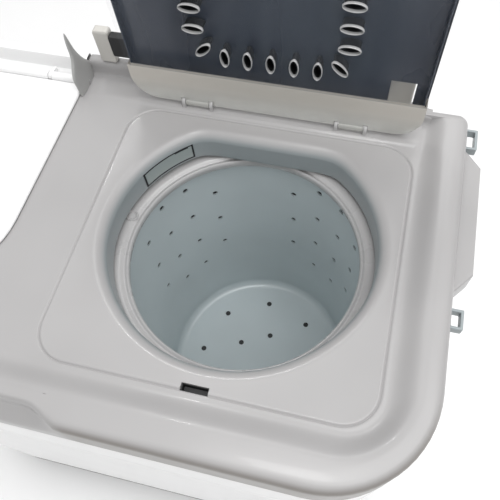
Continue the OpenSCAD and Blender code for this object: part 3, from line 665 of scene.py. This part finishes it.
def basket_floor(bm, holes):
    """The fillet, the floor with its drain holes, and the outside of the basket."""
    profile = [(WALL_R, WALL_FOOT)]
    for k in range(1, 7):
        a = math.radians(15 * k)
        profile.append((WALL_R - FILLET * (1 - math.cos(a)), WALL_FOOT - FILLET * math.sin(a)))
    lathe(bm, profile, SPIN_X, SPIN_Y, COLUMNS)
    edge_r = WALL_R - FILLET
    rings = [circle(0, 0, edge_r, COLUMNS)] + [circle(0, 0, r, 48) for r in (112, 78, 62, 54, 46, 30, 14)]
    drains = [circle(x, y, FLOOR_HOLE, 16) for x, y in holes]
    verts, faces = triangulated(rings + drains, [], [], lambda x, y: math.hypot(x, y) < edge_r and all(
        math.hypot(x - cx, y - cy) > FLOOR_HOLE - 0.1 for cx, cy in holes))
    made = [bm.verts.new((MM * (SPIN_X + v.x), MM * (SPIN_Y + v.y), MM * basket_floor_z(v.length)))
            for v in verts]
    for f in faces:
        bm.faces.new([made[i] for i in f])
    for x, y in holes:
        z = basket_floor_z(math.hypot(x, y))
        loft(bm, [[(SPIN_X + px, SPIN_Y + py, height) for px, py in circle(x, y, r, 16)]
                  for r, height in ((FLOOR_HOLE, z), (4.0, z - 0.7), (4.0, z - 4))])
    lathe(bm, [(0.5, 446), (34, 446), (34, 459), (WALL_R, 460), (WALL_R + 2, 462), (WALL_R + 2, WALL_TOP)],
          SPIN_X, SPIN_Y, COLUMNS)


def even_normals(ob):
    """Sets the wall's and the floor's normals straight, so that their holes leave no shading marks."""
    normals = []
    for v in ob.data.vertices:
        dx, dy = v.co.x - SPIN_X * MM, v.co.y - SPIN_Y * MM
        r = math.hypot(dx, dy)
        if abs(r - WALL_R * MM) < 1e-5 and v.co.z > (WALL_FOOT - 1) * MM:
            normals.append((-dx / r, -dy / r, 0))
        elif r < (WALL_R - FILLET) * MM and abs(v.co.z / MM - 463) < 1.5:
            normals.append((0, 0, 1))
        else:
            normals.append(tuple(v.normal))
    ob.data.normals_split_custom_set_from_vertices(normals)


def build_hole_shade(walls, drains):
    """Black discs closing the basket's holes: painted shade where the tub behind them lies in shadow."""
    bm = bmesh.new()
    for u, z in walls:
        a = u / WALL_R
        c, s = math.cos(a), math.sin(a)
        loft(bm, [[(SPIN_X + r * c - h * s, SPIN_Y + r * s + h * c, z + v) for h, v in circle(0, 0, 2.85, 14)]
                  for r in (WALL_R + 0.9, WALL_R + 1.6)], cap_first=True, cap_last=True)
    for x, y in drains:
        z = basket_floor_z(math.hypot(x, y)) - 0.9
        loft(bm, [[(SPIN_X + px, SPIN_Y + py, z - d) for px, py in circle(x, y, 4.05, 16)] for d in (0, 0.6)],
             cap_first=True, cap_last=True)
    piece("basket_hole_shade", bm, "basket_unit", "basket_plastic", [], MAT["black_plastic"])


def build_basket():
    walls, drains = wall_holes(), floor_holes()
    bm = bmesh.new()
    basket_wall(bm, walls)
    basket_floor(bm, drains)
    bmesh.ops.remove_doubles(bm, verts=bm.verts, dist=2e-5)
    drop_loose(bm)
    even_normals(piece("spin_basket_shell", bm, "basket_unit", "basket_plastic", ["spin_basket"],
                       smooth_angle=50))
    build_hole_shade(walls, drains)


build_skirt()
build_window()
build_ring()
build_ring_plug()
build_basket()


# ---------------------------------------------------------------- spin lid fittings

# The raised lid's middle and its hinge line
LID_X, HINGE_Y, HINGE_Z = SPIN_X - 1.5, SPIN_Y + 150, FLOOR + 7


def lid_vents():
    """Five vents in a row, one across each corner and six up each side: across, up and turn in degrees."""
    spots = [(x, 73, 0) for x in (-46, -23, 0, 23, 46)]
    spots += [(s * 67, 80, s * 45) for s in (-1, 1)]
    spots += [(s * 74, v, 90) for s in (-1, 1) for v in (104, 127, 150, 173, 196, 219)]
    return spots


def vent_loop(spot, w, l, proud, n=24):
    """An oval in the lid's plane, standing proud of its hinge plane."""
    u0, v0, turn = spot
    a = math.radians(turn)
    pts = []
    for i in range(n):
        t = 2 * math.pi * i / n
        x, y = w / 2 * math.cos(t), l / 2 * math.sin(t)
        pts.append((LID_X + u0 + x * math.cos(a) - y * math.sin(a), HINGE_Y - proud,
                    HINGE_Z + v0 + x * math.sin(a) + y * math.cos(a)))
    return pts


def build_vents():
    rims, wells = bmesh.new(), bmesh.new()
    for spot in lid_vents():
        rows = [(10, 21.8, 3.02), (9.9, 21.7, 4.0), (9.4, 21.2, 4.8), (8.8, 20.6, 5.1), (8.2, 20.0, 5.0),
                (7.7, 19.5, 4.4), (7.6, 19.4, 3.2), (7.6, 19.4, 1.0)]
        loft(rims, [vent_loop(spot, *r) for r in rows])
        rows = [(7.6, 19.4, 1.6), (7.5, 19.3, -8.0)]
        loft(wells, [vent_loop(spot, *r) for r in rows], cap_last=True)
    frosted = plastic("vent_rim", (0.47, 0.47, 0.47), 0.25, 0.4)
    piece("vent_rims", rims, "spin_lid", "clear_plastic", [], frosted)
    # Black-bottomed wells behind the vents: painted shade seen through them.
    piece("vent_wells_painted_shade", wells, "spin_lid", "smoked_plastic", [], MAT["black_plastic"])


def build_fin():
    """The horn-shaped hinge cheek beside the wash lid: height, front, back and thickness of each section."""
    bm = bmesh.new()
    rows = [(860.2, 150.2, 187.8, 4.9), (872, 149.8, 187.8, 4.9), (879, 149.2, 187.5, 4.9),
            (884, 149.0, 184.5, 4.9), (888, 149.8, 181.5, 4.9), (892, 151.6, 179.2, 4.8),
            (896, 154.2, 177.0, 4.7), (900, 157.6, 175.2, 4.6), (904, 160.2, 173.4, 4.5),
            (908, 161.4, 171.8, 4.3), (913, 162.2, 170.2, 4.0), (919, 162.6, 169.0, 3.6),
            (925, 163.2, 168.0, 3.1), (930, 164.0, 167.4, 2.5), (934, 165.0, 166.8, 1.7),
            (936, 165.7, 166.2, 0.8)]
    loops = []
    for z, y0, y1, thick in rows:
        cy, half = (y0 + y1) / 2, (y1 - y0) / 2
        loops.append([(-36 + thick / 2 * math.copysign(abs(c) ** 0.6, c),
                       cy + half * math.copysign(abs(s) ** 0.6, s), z) for c, s in circle(0, 0, 1, 28)])
    loft(bm, loops, cap_first=True, cap_last=True)
    piece("hinge_cheek", bm, "cabinet", "grey_plastic", ["hinge_fin"], smooth_angle=70)


def build_ears():
    """The wash lid's small hinge brackets on the deck."""
    bm = bmesh.new()
    for x in (-323, -291, -83):
        outline = [(184, 857), (184, 866)]
        outline += [(171 + 4.5 * math.cos(math.radians(t)), 864 + 4.5 * math.sin(math.radians(t)))
                    for t in range(60, 271, 15)]
        outline += [(174, 857)]
        loft(bm, [[(x + dx, 175 + (y - 175) * k, 862 + (z - 862) * k) for y, z in outline]
                  for dx, k in ((0, 0.93), (0.5, 1), (3.5, 1), (4, 0.93))], cap_first=True, cap_last=True)
    piece("wash_hinge_ears", bm, "cabinet", "lid_plastic")


def build_rear_trim():
    """The bright strip along the back of the wash side."""
    bm = bmesh.new()
    profile = [(0, 866), (0, 877), (1, 879.2), (3, 880), (8, 880), (11, 879), (12, 876), (12.4, 868),
               (14, 863), (18, 860.6), (32, 860.2), (33, 859), (33, 850)]
    loft(bm, [[(x, HALF_D - back, z) for back, z in profile] for x in (-351, -300, -200, -100, -39.3)],
         closed=False)
    piece("wash_rear_trim", bm, "cabinet", "lid_plastic")


def lid_plane(u, v, behind):
    """A point of the raised lid: across, up from the hinge line, and distance behind its inner panel."""
    return (LID_X + u, HINGE_Y + behind, HINGE_Z + v)


def build_cover_rim():
    """The dark cover's turned-in rim, just inside the clear panel's flange, in the same painted shade as the
    cover.
    """
    lo, hi = [v * 1000 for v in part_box("spin_lid_cover")]
    half, top, low = (hi.x - lo.x) / 2, hi.z - HINGE_Z, lo.z - HINGE_Z
    inset, bend = 2.8, 31.2
    path = [(-half + inset, low)]
    path += [(-half + inset + bend * (1 - math.cos(a)), top - inset - bend + bend * math.sin(a))
             for a in (math.radians(9 * k) for k in range(11))]
    path += [(-u, v) for u, v in reversed(path)]
    outline = []
    for i, (u, v) in enumerate(path):
        a, b = path[max(i - 1, 0)], path[min(i + 1, len(path) - 1)]
        du, dv = b[0] - a[0], b[1] - a[1]
        size = math.hypot(du, dv)
        nu, nv = dv / size, -du / size
        outline.append([lid_plane(u + nu * t, v + nv * t, d)
                        for t, d in ((0, 9.9), (0, 0.9), (0.4, 0.5), (1.1, 0.5), (1.5, 0.9), (1.5, 9.9))])
    bm = bmesh.new()
    loft(bm, outline, cap_first=True, cap_last=True)
    bmesh.ops.recalc_face_normals(bm, faces=bm.faces)
    piece("cover_rim", bm, "spin_lid", "smoked_plastic")


build_vents()
build_cover_rim()
build_fin()
build_ears()
build_rear_trim()


# ---------------------------------------------------------------- wash lid

def build_wash_lid():
    """The wash lid: a shallow tray upside down, with the three barrels of its hinge."""
    bm = bmesh.new()
    x0, x1, y0, y1 = -355.2, -38.8, -108.2, 166
    rows = [(10, 854.2), (7, 854.4), (7, 860.3), (1.0, 860.4), (0.2, 861), (0, 862.0), (0.4, 863.3),
            (1.6, 864.2), (4, 864.6), (16, 864.8), (22, 864.5), (28, 864.4), (60, 864.7), (100, 865.0),
            (128, 865.0)]
    loops = [rounded(x0 + g, x1 - g, y0 + g, y1 - g, max(91 - g, 4), max(12 - g * 0.5, 3), z, arc=12,
                     along_x=16, along_y=10) for g, z in rows]
    loft(bm, loops, cap_first=True, cap_last=True)
    for left, right in ((-318.5, -291.5), (-286.5, -83.5), (-78.5, -42)):
        rings = [(left, 4.6), (left + 0.6, 5.2), (right - 0.6, 5.2), (right, 4.6)]
        loft(bm, [[(x, y, z) for y, z in circle(171, 864, r, 24)] for x, r in rings],
             cap_first=True, cap_last=True)
    piece("wash_lid_shell", bm, "wash_lid", "lid_plastic", ["wash_lid"])


build_wash_lid()


# ---------------------------------------------------------------- finish of the CAD nodes

SOFT_EDGES = {"lid_stop_posts": 3.0, "lid_buffers": 2.0, "side_handles": 2.0, "cord_hooks": 1.0,
              "control_fascia": 0.8, "cabinet_wrap": 0.8, "rear_cover": 0.4, "base_tray": 1.0,
              "hinge_brackets": 0.8, "spin_lid_cover": 0.5}


def softened(ob, width):
    """Rounds a CAD node's edges over within its own size."""
    weld = ob.modifiers.new("weld", "WELD")
    weld.merge_threshold = 1e-5
    bevel = ob.modifiers.new("soft_edges", "BEVEL")
    bevel.width = width * MM
    bevel.segments = 2
    bevel.limit_method = "ANGLE"
    bevel.angle_limit = math.radians(40)
    bevel.harden_normals = True


slot_of = {part["node"]: part["material_slot"] for part in frame["record"]["subparts"]}
for name, ob in NODES.items():
    slot = slot_of.get(name)
    if slot:
        ob.data.materials.clear()
        ob.data.materials.append(MAT[slot])
for name, width in SOFT_EDGES.items():
    softened(NODES[name], width)


# ---------------------------------------------------------------- camera, light and floor

# The camera's place in metres, its turn in degrees, and its lens
CAMERA_AT = (0.28802, -0.23712, 1.33641)
YAW, PITCH, ROLL = 17.183, 62.036, -4.538
LENS, SHIFT = 40.44, (-0.032, -0.0037)
DECK_MIDDLE = (0.1, 0.05, 0.86)


def make_camera():
    yaw, pitch, roll = (math.radians(a) for a in (YAW, PITCH, ROLL))
    fwd = Vector((-math.sin(yaw) * math.cos(pitch), math.cos(yaw) * math.cos(pitch), -math.sin(pitch)))
    right = Vector((math.cos(yaw), math.sin(yaw), 0))
    up = right.cross(fwd)
    x = math.cos(roll) * right + math.sin(roll) * up
    y = -math.sin(roll) * right + math.cos(roll) * up
    data = bpy.data.cameras.new("camera")
    data.sensor_width = 36
    data.lens = LENS
    data.shift_x, data.shift_y = SHIFT
    data.clip_start, data.clip_end = 0.02, 30
    cam = bpy.data.objects.new("camera", data)
    bpy.context.scene.collection.objects.link(cam)
    rot = Matrix((x, y, -fwd)).transposed().to_4x4()
    cam.matrix_world = Matrix.Translation(CAMERA_AT) @ rot
    bpy.context.scene.camera = cam


def area_light(name, where, target, size, power):
    data = bpy.data.lights.new(name, "AREA")
    data.shape = "RECTANGLE"
    data.size, data.size_y = size
    data.energy = power
    ob = bpy.data.objects.new(name, data)
    bpy.context.scene.collection.objects.link(ob)
    ob.location = where
    ob.rotation_mode = "QUATERNION"
    ob.rotation_quaternion = (Vector(target) - Vector(where)).to_track_quat("-Z", "Y")


def make_floor():
    bm = bmesh.new()
    bm.faces.new([bm.verts.new((x, y, 0)) for x, y in circle(0, 0, 6, 48)])
    mesh = bpy.data.meshes.new("studio_floor")
    bm.to_mesh(mesh)
    bm.free()
    floor = bpy.data.objects.new("studio_floor", mesh)
    bpy.context.scene.collection.objects.link(floor)
    pale = plastic("floor_pale", (0.93, 0.93, 0.93), 0.7, 0.0, drift=0.005, grain=60, grain_depth=0.02)
    floor.data.materials.append(pale)


def make_world():
    """A white surround that brightens upwards."""
    world = bpy.data.worlds.new("studio")
    world.use_nodes = True
    nodes, links = world.node_tree.nodes, world.node_tree.links
    back = nodes["Background"]
    where = nodes.new("ShaderNodeTexCoord")
    split = nodes.new("ShaderNodeSeparateXYZ")
    links.new(where.outputs["Generated"], split.inputs["Vector"])
    rise = ranged(nodes, links, split.outputs["Z"], -0.15, 0.75, 0.30, 0.95)
    links.new(rise, back.inputs["Strength"])
    back.inputs["Color"].default_value = (1, 1, 1, 1)
    bpy.context.scene.world = world


def make_stage():
    make_floor()
    make_world()
    area_light("key", (0.95, -0.35, 2.7), DECK_MIDDLE, (1.8, 1.8), 24)
    area_light("back", (0.1, 1.3, 2.4), DECK_MIDDLE, (1.2, 0.5), 5)
    area_light("glint", (-0.15, 0.75, 2.1), (0.1, 0.1, 0.86), (0.09, 0.09), 1.6)
    area_light("down", (0.24, -0.12, 3.0), (0.19, 0.01, 0.46), (0.4, 0.4), 6)
    bpy.context.scene.view_settings.view_transform = "Standard"


make_camera()
make_stage()
